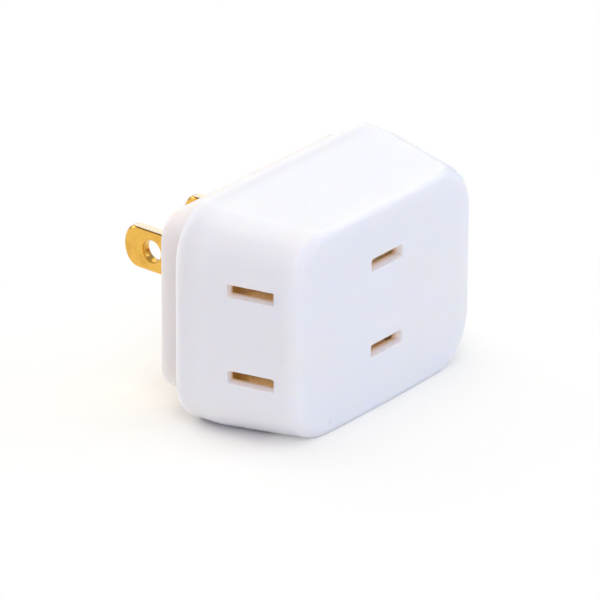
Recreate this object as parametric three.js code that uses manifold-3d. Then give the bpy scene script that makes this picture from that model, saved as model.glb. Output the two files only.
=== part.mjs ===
// Travel plug adapter: a corner tap with two flat plug blades and three two-slot outlets.
// Millimetres, +X across the front face, +Y towards the wall socket, +Z up. Nothing on it moves:
// its one pose has it lying on its broad bottom face, and the origin is on the floor under the
// middle of its bounding box.

import * as THREE from 'three';
import { mergeVertices, toCreasedNormals } from 'three/addons/utils/BufferGeometryUtils.js';
import Module from 'manifold-3d';

const wasm = await Module();
wasm.setup();

// Standard two-pin plug and outlet
const PIN_PITCH = 12.7;
const BLADE_WIDTH = 6.3;
const BLADE_THICKNESS = 1.5;
const BLADE_LENGTH = 17;
const BLADE_TIP_LENGTH = 2.4;
const BLADE_CHAMFER = 0.3;
const BLADE_HOLE_DIAMETER = 3.2;
const BLADE_HOLE_FROM_FACE = 12;
const SLOT_LENGTH = 6.8;
const SLOT_HEIGHT = 1.85;
const SLOT_CORNER = 0.3;
const SLOT_LEAD_IN = 0.25;
const SLOT_RISE = 0.5;

// Housing shell
const FRONT_WIDTH = 38.6;
const FRONT_HEIGHT = 30;
const BODY_WIDTH = 45;
const BODY_HEIGHT = 32;
const BODY_DEPTH = 18.2;
const SKIRT_DEPTH = 4.8;
const CORNER_RADIUS = 6.8;
const FRONT_FILLET = 1.6;
const FRONT_CROWN = 0.45;
const WALL = 1.8;
const RIM_WALL = 1;
const SIDE_OUTLET_SETBACK = 6.9;
const RIB_THICKNESS = 1.2;
const LEG_CLEARANCE = 0.6;
const CHEEK_DEPTH = 3;
const CHEEK_HEIGHT = 4.4;
const REST_CLEARANCE = 1.0811;

// Rear cover
const COVER_DEPTH = 5.3;
const COVER_INSET = 2.9;
const COVER_WALL = 1.8;
const COVER_FLOOR = 2;
const COVER_EDGE = 0.6;
const COVER_EDGE_STEP = 0.3;
const FLANGE_THICKNESS = 1.6;
const SLEEVE_WALL = 1.1;
const SLEEVE_HEIGHT = 1;

// Contacts
const CLIP_SHEET = 0.5;
const CLIP_WIDTH = 5.8;
const CLIP_MOUTH = 3.2;
const CLIP_THROAT = 1.2;
const CLIP_SPACING = 1.8;
const CLIP_LIP_DEPTH = 1.5;
const CLIP_THROAT_DEPTH = 4.2;
const CLIP_THROAT_LENGTH = 1.2;
const CLIP_FLAT_DEPTH = 6.6;
const CLIP_DEPTH = 13.4;
const FOLD_START = 8.6;
const FOLD_LENGTH = 4;
const FOLD_CLEARANCE = 0.25;
const FOLD_RADIUS = 0.75;
const EAR_OFFSET = 5.3;
const EAR_SIZE = 3.6;
const PAD_REACH = 2;
const BUS_SHEET = 0.8;
const BUS_WIDTH = 4.2;
const LEG_REACH = 2.7;
const FOOT_DEPTH = 7.4;
const RIVET_DIAMETER = 1.6;
const RIVET_HEAD_DIAMETER = 3;
const RIVET_HEAD_HEIGHT = 0.5;
const RIVET_CROWN = 0.7;
const SEAT_GAP = 0.3;

// Smoothness of round stretches
const CORNER_STEPS = 9;
const FACE_STEPS = 8;
const FILLET_STEPS = 5;
const FOLD_STEPS = 4;
const ROUND_STEPS = 14;
const CREASE_ANGLE = Math.PI / 5;
const WELD_DISTANCE = 1e-4;

const AXIS_X = new THREE.Vector3(1, 0, 0);
const AXIS_Y = new THREE.Vector3(0, 1, 0);
const AXIS_Z = new THREE.Vector3(0, 0, 1);

// A profile drawn in one of these planes is extruded along the third axis
const PLANES = {
  yz: new THREE.Matrix4().makeBasis(AXIS_Y, AXIS_Z, AXIS_X),
  zx: new THREE.Matrix4().makeBasis(AXIS_Z, AXIS_X, AXIS_Y),
};

const FACE_DRAFT = Math.atan((BODY_HEIGHT - FRONT_HEIGHT) / 2 / BODY_DEPTH);
const SIDE_TAPER = Math.atan((BODY_WIDTH - FRONT_WIDTH) / 2 / (BODY_DEPTH - SKIRT_DEPTH));
const BLADE_FACE_Y = BODY_DEPTH + COVER_DEPTH;

const plastic = new THREE.MeshStandardMaterial({ color: 0xeeeff2, roughness: 0.35, metalness: 0 });
const brass = new THREE.MeshStandardMaterial({ color: 0xd6a13a, roughness: 0.3, metalness: 1 });
const bronze = new THREE.MeshStandardMaterial({ color: 0xc98f3c, roughness: 0.34, metalness: 1 });
const steel = new THREE.MeshStandardMaterial({ color: 0xb9bbbd, roughness: 0.4, metalness: 1 });

const POLES = [
  { name: 'upper', side: 1 },
  { name: 'lower', side: -1 },
];

// Each outlet's frame: +Y runs into the slot, +Z up, its origin in the middle of the face.
// ear is the side of the clip, along its own X, on which it is riveted to the bus.
const OUTLETS = [
  { name: 'front', x: 0, y: 0, turn: 0, ear: 0, fold: 1 },
  { name: 'left', ...sideOutletPlace(-1), ear: -1, fold: 1 },
  { name: 'right', ...sideOutletPlace(1), ear: 1, fold: -1 },
];

function sideOutletPlace(side) {
  const x = side * (FRONT_WIDTH / 2 + SIDE_OUTLET_SETBACK * Math.sin(SIDE_TAPER));
  const y = SIDE_OUTLET_SETBACK * Math.cos(SIDE_TAPER);
  return { x, y, turn: side * (Math.PI / 2 - SIDE_TAPER) };
}

function outletHeight(pole) {
  return SLOT_RISE + (pole.side * PIN_PITCH) / 2;
}

function outletMatrix(outlet, pole) {
  const matrix = new THREE.Matrix4().makeRotationZ(outlet.turn);
  return matrix.setPosition(outlet.x, outlet.y, outletHeight(pole));
}

// Turns a closed geometry into a solid for joining and cutting
function solid(geometry) {
  const bare = geometry.clone();
  bare.deleteAttribute('normal');
  bare.deleteAttribute('uv');
  const merged = mergeVertices(bare, WELD_DISTANCE);
  const mesh = new wasm.Mesh({
    numProp: 3,
    vertProperties: new Float32Array(merged.attributes.position.array),
    triVerts: new Uint32Array(merged.index.array),
  });
  return new wasm.Manifold(mesh);
}

function join(geometries) {
  return geometries.map(solid).reduce((whole, piece) => whole.add(piece));
}

function toGeometry(manifold) {
  const mesh = manifold.getMesh();
  const geometry = new THREE.BufferGeometry();
  geometry.setAttribute('position', new THREE.BufferAttribute(mesh.vertProperties.slice(), 3));
  geometry.setIndex(new THREE.BufferAttribute(mesh.triVerts.slice(), 1));
  return geometry;
}

function named(name, geometry, material) {
  const mesh = new THREE.Mesh(toCreasedNormals(geometry, CREASE_ANGLE), material.clone());
  mesh.name = name;
  return mesh;
}

function prism(shape, plane, from, to) {
  const options = { depth: to - from, bevelEnabled: false, curveSegments: ROUND_STEPS };
  const geometry = new THREE.ExtrudeGeometry(shape, options);
  geometry.translate(0, 0, from);
  return geometry.applyMatrix4(PLANES[plane]);
}

function block(low, high) {
  const size = high.map((value, axis) => value - low[axis]);
  const middle = high.map((value, axis) => (value + low[axis]) / 2);
  return new THREE.BoxGeometry(...size).translate(...middle);
}

function roundedRectangle(width, height, radius) {
  const shape = new THREE.Shape();
  const x = width / 2 - radius;
  const y = height / 2 - radius;
  shape.moveTo(x, -y - radius);
  shape.absarc(x, -y, radius, -Math.PI / 2, 0);
  shape.absarc(x, y, radius, 0, Math.PI / 2);
  shape.absarc(-x, y, radius, Math.PI / 2, Math.PI);
  shape.absarc(-x, -y, radius, Math.PI, 1.5 * Math.PI);
  shape.closePath();
  return shape;
}

// Section of the body across the plug axis, as a top chain from left to right and its mirror
// image below. bow bends it back at both sides, as the crowned front face does.
function sectionRing({ y, halfWidth, halfHeight, radius, bow = 0 }) {
  const top = [];
  const arcX = halfWidth - radius;
  const arcZ = halfHeight - radius;
  for (let step = 0; step <= CORNER_STEPS; step += 1) {
    const angle = Math.PI - (step / CORNER_STEPS) * (Math.PI / 2);
    top.push([-arcX + radius * Math.cos(angle), arcZ + radius * Math.sin(angle)]);
  }
  for (let step = 1; step < FACE_STEPS; step += 1) {
    top.push([-arcX + (2 * arcX * step) / FACE_STEPS, halfHeight]);
  }
  for (let step = 0; step <= CORNER_STEPS; step += 1) {
    const angle = Math.PI / 2 - (step / CORNER_STEPS) * (Math.PI / 2);
    top.push([arcX + radius * Math.cos(angle), arcZ + radius * Math.sin(angle)]);
  }
  const bottom = top.map(([x, z]) => [x, -z]).reverse();
  return [...top, ...bottom].map(([x, z]) => {
    const back = bow * (x / (FRONT_WIDTH / 2)) ** 2;
    return new THREE.Vector3(x, y + back, z);
  });
}

// Joins section rings, listed from front to back, and closes both ends with strips
function loft(rings) {
  const count = rings[0].length;
  const positions = rings.flat().flatMap((point) => point.toArray());
  const index = [];
  for (let ring = 0; ring < rings.length - 1; ring += 1) {
    for (let point = 0; point < count; point += 1) {
      const a = ring * count + point;
      const b = ring * count + ((point + 1) % count);
      index.push(a, b, b + count, a, b + count, a + count);
    }
  }
  const last = (rings.length - 1) * count;
  for (let point = 0; point < count / 2 - 1; point += 1) {
    const mirror = count - 1 - point;
    index.push(point, mirror, mirror - 1, point, mirror - 1, point + 1);
    index.push(last + point, last + mirror - 1, last + mirror);
    index.push(last + point, last + point + 1, last + mirror - 1);
  }
  const geometry = new THREE.BufferGeometry();
  geometry.setAttribute('position', new THREE.Float32BufferAttribute(positions, 3));
  geometry.setIndex(index);
  return geometry;
}

// Half sizes of the body at a depth behind the front face
function bodyHalfWidth(y) {
  const tapered = Math.min(y, BODY_DEPTH - SKIRT_DEPTH);
  return FRONT_WIDTH / 2 + tapered * Math.tan(SIDE_TAPER);
}

function bodyHalfHeight(y) {
  return FRONT_HEIGHT / 2 + y * Math.tan(FACE_DRAFT);
}

function bodyRing(y, inset, bow) {
  return sectionRing({
    y,
    halfWidth: bodyHalfWidth(y + bow) - inset,
    halfHeight: bodyHalfHeight(y) - inset,
    radius: CORNER_RADIUS - inset,
    bow,
  });
}

function housingOuter() {
  const rings = [];
  for (let step = 0; step <= FILLET_STEPS; step += 1) {
    const angle = (step / FILLET_STEPS) * (Math.PI / 2);
    const inset = FRONT_FILLET * (1 - Math.sin(angle));
    const back = FRONT_FILLET * (1 - Math.cos(angle));
    rings.push(bodyRing(back, inset, FRONT_CROWN));
  }
  rings.push(bodyRing(BODY_DEPTH - SKIRT_DEPTH, 0, 0));
  rings.push(bodyRing(BODY_DEPTH, 0, 0));
  return loft(rings);
}

function housingCavity() {
  return loft([
    bodyRing(WALL, WALL, FRONT_CROWN),
    bodyRing(BODY_DEPTH - SKIRT_DEPTH, WALL, 0),
    bodyRing(BODY_DEPTH + WALL, WALL, 0),
  ]);
}

// Recess in the rim that the rear cover's flange drops into
function flangeRecess() {
  const depth = BODY_DEPTH - FLANGE_THICKNESS - SEAT_GAP;
  return loft([bodyRim(depth, RIM_WALL), bodyRim(BODY_DEPTH + WALL, RIM_WALL)]);
}

function bodyRim(y, inset) {
  return sectionRing({
    y,
    halfWidth: BODY_WIDTH / 2 - inset,
    halfHeight: BODY_HEIGHT / 2 - inset,
    radius: CORNER_RADIUS - inset,
  });
}

// A slot through the wall with a lead-in that widens it at the face
function slotCutter() {
  const mouthLength = SLOT_LENGTH + 2 * SLOT_LEAD_IN;
  const mouthHeight = SLOT_HEIGHT + 2 * SLOT_LEAD_IN;
  const slot = roundedRectangle(SLOT_HEIGHT, SLOT_LENGTH, SLOT_CORNER);
  const mouthPrism = prism(roundedRectangle(mouthHeight, mouthLength, SLOT_CORNER), 'zx', -WALL, 0);
  const throughPrism = prism(slot, 'zx', -WALL, 2 * WALL);
  const slope = leadInWedge(mouthLength, mouthHeight);
  return join([mouthPrism, throughPrism, slope]);
}

function leadInWedge(mouthLength, mouthHeight) {
  const near = rectangleRing(mouthLength, mouthHeight, -SLOT_LEAD_IN / 4);
  const far = rectangleRing(SLOT_LENGTH, SLOT_HEIGHT, SLOT_LEAD_IN);
  return loft([near, far]);
}

function rectangleRing(length, height, y) {
  const corners = [[-1, 1], [1, 1], [1, -1], [-1, -1]];
  return corners.map(([x, z]) => new THREE.Vector3((x * length) / 2, y, (z * height) / 2));
}

// Two short walls beside a slot that keep its clip in line
function clipCheeks() {
  const inner = SLOT_LENGTH / 2 + CLIP_SHEET + SEAT_GAP;
  return [-1, 1].map((side) => {
    const from = side * inner;
    const to = side * (inner + RIB_THICKNESS);
    return block(
      [Math.min(from, to), WALL / 2, -CHEEK_HEIGHT / 2],
      [Math.max(from, to), WALL + CHEEK_DEPTH, CHEEK_HEIGHT / 2],
    );
  });
}

function busOuterHeight() {
  return CLIP_SPACING / 2 + CLIP_SHEET + SEAT_GAP + BUS_SHEET;
}

// Middle of the rib beside a side clip's rivet
function busRestOffset() {
  const rivetX = Math.max(...OUTLETS.map((outlet) => Math.abs(clipRivetPoint(outlet).x)));
  return rivetX - RIVET_HEAD_DIAMETER / 2 - REST_CLEARANCE - RIB_THICKNESS / 2;
}

// Divider between the poles, and the ribs that each bus strip lies against
function housingRibs() {
  const reach = BODY_WIDTH / 2;
  const divider = block(
    [-reach, WALL / 2, SLOT_RISE - RIB_THICKNESS / 2],
    [reach, legStartY() - LEG_CLEARANCE, SLOT_RISE + RIB_THICKNESS / 2],
  );
  const rests = POLES.flatMap((pole) => {
    const busFace = outletHeight(pole) + pole.side * (busOuterHeight() + SEAT_GAP);
    const outer = (pole.side * BODY_HEIGHT) / 2;
    const endY = BODY_DEPTH - FLANGE_THICKNESS - 2 * SEAT_GAP;
    return [-1, 1].map((side) => {
      const middle = side * busRestOffset();
      return block(
        [middle - RIB_THICKNESS / 2, WALL / 2, Math.min(busFace, outer)],
        [middle + RIB_THICKNESS / 2, endY, Math.max(busFace, outer)],
      );
    });
  });
  const cheeks = OUTLETS.flatMap((outlet) => POLES.flatMap((pole) => {
    const place = outletMatrix(outlet, pole);
    return clipCheeks().map((cheek) => cheek.applyMatrix4(place));
  }));
  return join([divider, ...rests, ...cheeks]);
}

function housingShell() {
  const outer = solid(housingOuter());
  let shell = outer.subtract(solid(housingCavity()));
  shell = shell.add(housingRibs().intersect(outer));
  shell = shell.subtract(solid(flangeRecess()));
  for (const outlet of OUTLETS) {
    for (const pole of POLES) {
      const cutter = toGeometry(slotCutter()).applyMatrix4(outletMatrix(outlet, pole));
      shell = shell.subtract(solid(cutter));
    }
  }
  return toGeometry(shell);
}

function coverRing(y, inset) {
  return bodyRim(y, COVER_INSET + inset);
}

function rearCover() {
  const outer = loft([
    coverRing(BODY_DEPTH - FLANGE_THICKNESS, 0),
    coverRing(BLADE_FACE_Y - COVER_EDGE, 0),
    coverRing(BLADE_FACE_Y - COVER_EDGE * COVER_EDGE_STEP, COVER_EDGE * COVER_EDGE_STEP),
    coverRing(BLADE_FACE_Y, COVER_EDGE),
  ]);
  const flangeInset = RIM_WALL + SEAT_GAP;
  const flange = loft([
    bodyRim(BODY_DEPTH - FLANGE_THICKNESS, flangeInset),
    bodyRim(BODY_DEPTH, flangeInset),
  ]);
  const hollow = loft([
    coverRing(BODY_DEPTH - 2 * FLANGE_THICKNESS, COVER_WALL),
    coverRing(BLADE_FACE_Y - COVER_FLOOR, COVER_WALL),
  ]);
  let cover = join([outer, flange]).subtract(solid(hollow));
  const passage = [BLADE_THICKNESS + 2 * SEAT_GAP, BLADE_WIDTH + 2 * SEAT_GAP];
  for (const side of [-1, 1]) {
    const x = (side * PIN_PITCH) / 2;
    const half = passage.map((size) => size / 2);
    const sleeve = block(
      [x - half[0] - SLEEVE_WALL, BLADE_FACE_Y - COVER_FLOOR - SLEEVE_HEIGHT, -half[1] - SLEEVE_WALL],
      [x + half[0] + SLEEVE_WALL, BLADE_FACE_Y - COVER_FLOOR / 2, half[1] + SLEEVE_WALL],
    );
    const opening = block(
      [x - half[0], BLADE_FACE_Y - 2 * COVER_FLOOR - SLEEVE_HEIGHT, -half[1]],
      [x + half[0], BLADE_FACE_Y + COVER_FLOOR, half[1]],
    );
    cover = cover.add(solid(sleeve)).subtract(solid(opening));
  }
  for (const pole of POLES) {
    cover = cover.subtract(solid(clipRivetPocket(pole)));
  }
  return toGeometry(cover);
}

// Room in the cover for the outer head of a front clip's rivet
function clipRivetPocket(pole) {
  const radius = RIVET_HEAD_DIAMETER / 2 + SEAT_GAP;
  const point = clipRivetPoint(OUTLETS[0]);
  const depth = BUS_SHEET + 2 * SEAT_GAP + RIVET_HEAD_HEIGHT;
  const geometry = new THREE.CylinderGeometry(radius, radius, depth, ROUND_STEPS);
  const middle = busMiddle(pole) + (pole.side * (depth - BUS_SHEET)) / 2;
  return geometry.rotateX(Math.PI / 2).translate(point.x, point.y, middle);
}

// Blade seen from the side, from its foot inside the cover to its rounded tip
function plugBlade() {
  const half = BLADE_WIDTH / 2 - BLADE_CHAMFER;
  const footY = BLADE_FACE_Y - FOOT_DEPTH + BLADE_CHAMFER;
  const shoulderY = BLADE_FACE_Y + BLADE_LENGTH - BLADE_TIP_LENGTH;
  const tipReach = BLADE_TIP_LENGTH - BLADE_CHAMFER;
  const outline = new THREE.Shape();
  outline.moveTo(footY, -half);
  outline.lineTo(shoulderY, -half);
  outline.absellipse(shoulderY, 0, tipReach, half, -Math.PI / 2, Math.PI / 2);
  outline.lineTo(footY, half);
  outline.closePath();
  const holes = [
    [BLADE_FACE_Y + BLADE_HOLE_FROM_FACE, BLADE_HOLE_DIAMETER / 2 + BLADE_CHAMFER],
    [bladeRivetY(), RIVET_DIAMETER / 2 + SEAT_GAP + BLADE_CHAMFER],
  ];
  for (const [y, radius] of holes) {
    const hole = new THREE.Path();
    hole.absarc(y, 0, radius, 0, 2 * Math.PI, true);
    outline.holes.push(hole);
  }
  const geometry = new THREE.ExtrudeGeometry(outline, {
    depth: BLADE_THICKNESS - 2 * BLADE_CHAMFER,
    bevelThickness: BLADE_CHAMFER,
    bevelSize: BLADE_CHAMFER,
    bevelSegments: 1,
    curveSegments: ROUND_STEPS,
  });
  geometry.translate(0, 0, BLADE_CHAMFER - BLADE_THICKNESS / 2);
  return geometry.applyMatrix4(PLANES.yz);
}

function legStartY() {
  return BLADE_FACE_Y - FOOT_DEPTH;
}

// The leg ends just short of the sleeve that the cover has round its blade
function legLength() {
  return FOOT_DEPTH - COVER_FLOOR - SLEEVE_HEIGHT - SEAT_GAP;
}

function bladeRivetY() {
  return legStartY() + legLength() / 2;
}

// Outline of a bent strip of sheet: its middle line, with half the sheet on each side
function bentStrip(points, sheet) {
  const line = points.map(([a, b]) => new THREE.Vector2(a, b));
  const normals = line.slice(1).map((point, step) => {
    const along = point.clone().sub(line[step]).normalize();
    return new THREE.Vector2(-along.y, along.x);
  });
  const offsets = line.map((point, step) => {
    const before = normals[Math.max(step - 1, 0)];
    const after = normals[Math.min(step, normals.length - 1)];
    const mitre = before.clone().add(after).normalize();
    return mitre.multiplyScalar(sheet / 2 / mitre.dot(after));
  });
  const one = line.map((point, step) => point.clone().add(offsets[step]));
  const other = line.map((point, step) => point.clone().sub(offsets[step]));
  return new THREE.Shape([...other, ...one.reverse()]);
}

// One spring leaf from the side: flared lip, contact hump, flat back
function clipLeaf(side, depth) {
  const mouthY = WALL + SEAT_GAP;
  const half = (gap) => side * (gap + CLIP_SHEET) / 2;
  const points = [
    [mouthY, half(CLIP_MOUTH)],
    [mouthY + CLIP_LIP_DEPTH, half(CLIP_SPACING)],
    [mouthY + CLIP_THROAT_DEPTH - CLIP_THROAT_LENGTH / 2, half(CLIP_THROAT)],
    [mouthY + CLIP_THROAT_DEPTH + CLIP_THROAT_LENGTH / 2, half(CLIP_THROAT)],
    [mouthY + CLIP_FLAT_DEPTH, half(CLIP_SPACING)],
    [mouthY + depth, half(CLIP_SPACING)],
  ];
  const profile = bentStrip(points, CLIP_SHEET);
  return prism(profile, 'yz', -CLIP_WIDTH / 2, CLIP_WIDTH / 2);
}

// Fold that carries the far leaf round one edge of the near one
function clipFold(side) {
  const middle = (CLIP_SPACING + CLIP_SHEET) / 2;
  const edge = BLADE_WIDTH / 2 + FOLD_CLEARANCE + CLIP_SHEET / 2;
  const points = [[middle, 0]];
  for (const [centreZ, start] of [[middle - FOLD_RADIUS, 0], [FOLD_RADIUS - middle, 1]]) {
    for (let step = 0; step <= FOLD_STEPS; step += 1) {
      const angle = ((start + step / FOLD_STEPS) * Math.PI) / 2;
      points.push([
        centreZ + FOLD_RADIUS * Math.cos(angle),
        edge - FOLD_RADIUS + FOLD_RADIUS * Math.sin(angle),
      ]);
    }
  }
  points.push([-middle, 0]);
  const placed = points.map(([z, x]) => [z, side * x]);
  const start = WALL + SEAT_GAP + FOLD_START;
  return prism(bentStrip(placed, CLIP_SHEET), 'zx', start, start + FOLD_LENGTH);
}

function clipRivetPlace(outlet) {
  if (outlet.ear === 0) {
    return [0, WALL + SEAT_GAP + CLIP_DEPTH + PAD_REACH];
  }
  return [outlet.ear * EAR_OFFSET, WALL + SEAT_GAP + FOLD_START + FOLD_LENGTH / 2];
}

// Spring clip in its outlet's frame. The bus side of the clip faces away from the divider.
function contactClip(outlet, pole) {
  const [rivetX, rivetY] = clipRivetPlace(outlet);
  const half = EAR_SIZE / 2;
  const flat = pole.side * (CLIP_SPACING / 2 + CLIP_SHEET / 2);
  const busLeafDepth = outlet.ear === 0 ? CLIP_DEPTH + PAD_REACH + half : CLIP_DEPTH;
  const pieces = [
    clipLeaf(pole.side, busLeafDepth),
    clipLeaf(-pole.side, CLIP_DEPTH),
    clipFold(outlet.fold),
  ];
  if (outlet.ear !== 0) {
    const reach = [0, rivetX + outlet.ear * half];
    pieces.push(block(
      [Math.min(...reach), rivetY - half, flat - CLIP_SHEET / 2],
      [Math.max(...reach), rivetY + half, flat + CLIP_SHEET / 2],
    ));
  }
  const hole = rivetHole().translate(rivetX, rivetY, flat);
  return toGeometry(join(pieces).subtract(solid(hole)));
}

// Cutter for a rivet's hole, long enough for the thickest sheet
function rivetHole() {
  const radius = RIVET_DIAMETER / 2 + SEAT_GAP;
  const length = 2 * (BUS_SHEET + CLIP_SHEET);
  const geometry = new THREE.CylinderGeometry(radius, radius, length, ROUND_STEPS);
  return geometry.rotateX(Math.PI / 2);
}

// Rivet through a stack of sheets, with its axis along Z and the stack from 0 to grip
function rivet(grip) {
  const shank = RIVET_DIAMETER / 2;
  const head = RIVET_HEAD_DIAMETER / 2;
  const low = -SEAT_GAP;
  const high = grip + SEAT_GAP;
  const profile = [
    [0, low - RIVET_HEAD_HEIGHT],
    [head * RIVET_CROWN, low - RIVET_HEAD_HEIGHT],
    [head, low - RIVET_HEAD_HEIGHT / 2],
    [head, low],
    [shank, low],
    [shank, high],
    [head, high],
    [head, high + RIVET_HEAD_HEIGHT / 2],
    [head * RIVET_CROWN, high + RIVET_HEAD_HEIGHT],
    [0, high + RIVET_HEAD_HEIGHT],
  ].map(([radius, height]) => new THREE.Vector2(radius, height));
  return new THREE.LatheGeometry(profile, ROUND_STEPS).rotateX(Math.PI / 2);
}

// Middle of the bus strip's sheet above or below the blades' mid-plane
function busMiddle(pole) {
  return outletHeight(pole) + pole.side * (busOuterHeight() - BUS_SHEET / 2);
}

function clipRivetPoint(outlet) {
  const [x, y] = clipRivetPlace(outlet);
  const place = outletMatrix(outlet, POLES[0]);
  return new THREE.Vector3(x, y, 0).applyMatrix4(place);
}

// Bus strip: a cross strip over the side clips, a tongue over the front clip, and a leg that
// is folded towards the mid-plane beside its plug blade
function busStrip(pole) {
  const bladeSide = -pole.side;
  const middle = busMiddle(pole);
  const ends = OUTLETS.map(clipRivetPoint);
  const crossX = Math.max(...ends.map((point) => Math.abs(point.x))) + BUS_WIDTH / 2;
  const crossY = ends[1].y;
  const tongueY = ends[0].y + BUS_WIDTH / 2;
  const half = BUS_SHEET / 2;
  const cross = block(
    [-crossX, crossY - BUS_WIDTH / 2, middle - half],
    [crossX, crossY + BUS_WIDTH / 2, middle + half],
  );
  const tongue = block(
    [-BUS_WIDTH / 2, crossY, middle - half],
    [BUS_WIDTH / 2, tongueY, middle + half],
  );
  const legX = bladeSide * (PIN_PITCH / 2 - BLADE_THICKNESS / 2 - SEAT_GAP - half);
  const reach = -pole.side * LEG_REACH;
  const legProfile = bentStrip([[middle, 0], [middle, legX], [reach, legX]], BUS_SHEET);
  const leg = prism(legProfile, 'zx', legStartY(), legStartY() + legLength());
  let strip = join([cross, tongue, leg]);
  for (const point of ends) {
    strip = strip.subtract(solid(rivetHole().translate(point.x, point.y, middle)));
  }
  const legHole = rivetHole().rotateY(Math.PI / 2).translate(legX, bladeRivetY(), 0);
  return toGeometry(strip.subtract(solid(legHole)));
}

function outletGroup(outlet, pole) {
  const group = new THREE.Group();
  group.position.set(outlet.x, outlet.y, outletHeight(pole));
  group.rotation.z = outlet.turn;
  const tag = `${outlet.name}_${pole.name}`;
  group.add(named(`contact_clip_${tag}`, contactClip(outlet, pole), bronze));
  const [x, y] = clipRivetPlace(outlet);
  const fastener = named(`clip_rivet_${tag}`, rivet(CLIP_SHEET + SEAT_GAP + BUS_SHEET), steel);
  fastener.position.set(x, y, (pole.side * CLIP_SPACING) / 2);
  if (pole.side < 0) {
    fastener.rotation.x = Math.PI;
  }
  group.add(fastener);
  return group;
}

function bladeGroup(name, side) {
  const group = new THREE.Group();
  group.position.x = (side * PIN_PITCH) / 2;
  group.add(named(`plug_blade_${name}`, plugBlade(), brass));
  const fastener = named(`blade_rivet_${name}`, rivet(BLADE_THICKNESS + SEAT_GAP + BUS_SHEET), steel);
  fastener.position.set((side * BLADE_THICKNESS) / 2, bladeRivetY(), 0);
  fastener.rotation.y = (-side * Math.PI) / 2;
  group.add(fastener);
  return group;
}

// The adapter with its plug axis along Y, before it is laid on its bottom face
function assembly() {
  const group = new THREE.Group();
  group.add(named('housing_shell', housingShell(), plastic));
  group.add(named('rear_cover', rearCover(), plastic));
  group.add(bladeGroup('left', -1));
  group.add(bladeGroup('right', 1));
  for (const pole of POLES) {
    group.add(named(`bus_strip_${pole.name}`, busStrip(pole), brass));
    for (const outlet of OUTLETS) {
      group.add(outletGroup(outlet, pole));
    }
  }
  return group;
}

// Tips the adapter until its drafted bottom face is level, and centres it over the origin
function layOnBottomFace(group) {
  group.rotation.x = FACE_DRAFT;
  group.updateMatrixWorld(true);
  const box = new THREE.Box3().setFromObject(group, true);
  const middle = box.getCenter(new THREE.Vector3());
  group.position.set(-middle.x, -middle.y, -box.min.z);
  return group;
}

const travelPlugAdapter = new THREE.Group();
travelPlugAdapter.name = 'travel_plug_adapter';
travelPlugAdapter.add(layOnBottomFace(assembly()));

export default travelPlugAdapter;
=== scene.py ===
"""Looks of the travel plug adapter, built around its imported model.

A white moulded tap with three two-slot outlets, a rear cover and two brass plug blades. The
pieces are shaped in millimetres in the plug's own frame (front face at y = 0, plug axis along
+Y, mid-plane at z = 0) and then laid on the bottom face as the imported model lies.
"""

import logging
import math
from dataclasses import dataclass, field, replace
from enum import Enum
from typing import Any, Callable, Iterable, Optional, Sequence, Union

import bmesh
import bpy
from mathutils import Color, Matrix, Vector


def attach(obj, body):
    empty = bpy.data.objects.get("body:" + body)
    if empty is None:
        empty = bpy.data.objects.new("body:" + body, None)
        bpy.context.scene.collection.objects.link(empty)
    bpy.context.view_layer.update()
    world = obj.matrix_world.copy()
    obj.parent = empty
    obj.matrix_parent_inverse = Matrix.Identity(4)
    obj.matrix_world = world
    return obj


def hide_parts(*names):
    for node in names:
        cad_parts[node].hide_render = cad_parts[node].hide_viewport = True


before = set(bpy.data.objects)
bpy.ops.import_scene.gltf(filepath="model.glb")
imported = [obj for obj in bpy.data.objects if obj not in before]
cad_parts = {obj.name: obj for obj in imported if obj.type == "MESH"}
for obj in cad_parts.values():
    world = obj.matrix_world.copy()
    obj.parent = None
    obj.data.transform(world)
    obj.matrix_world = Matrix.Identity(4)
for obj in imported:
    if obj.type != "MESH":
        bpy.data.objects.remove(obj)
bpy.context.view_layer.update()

LOG = logging.getLogger("adapter")

MM = 0.001
BODY = "root"

# Tolerances of the forming tools, in millimetres, and limits of direction and angle
TOUCH = 1e-5
ON_PLANE = 1e-3
FACING = 0.9
LENGTHWISE_SPAN = 1.0
SHARP_ANGLE = math.radians(45)
FLAT_WEIGHT = 60

NOISE_MIDDLE = 0.5
BLACK = (0.0, 0.0, 0.0)
WHITE = (1.0, 1.0, 1.0, 1.0)

Colour = tuple[float, float, float]
Span = tuple[float, float]
Span3 = tuple[float, float, float]
Value = Union["Wire", float]
Test = Callable[[Any], bool]


class Slot(Enum):
    """Names of the record's material slots."""

    PLASTIC = "white_plastic"
    BLADE = "blade_brass"


class Side(Enum):
    """The two long sides of the adapter, by the sign of their X."""

    LEFT = -1
    RIGHT = 1


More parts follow.
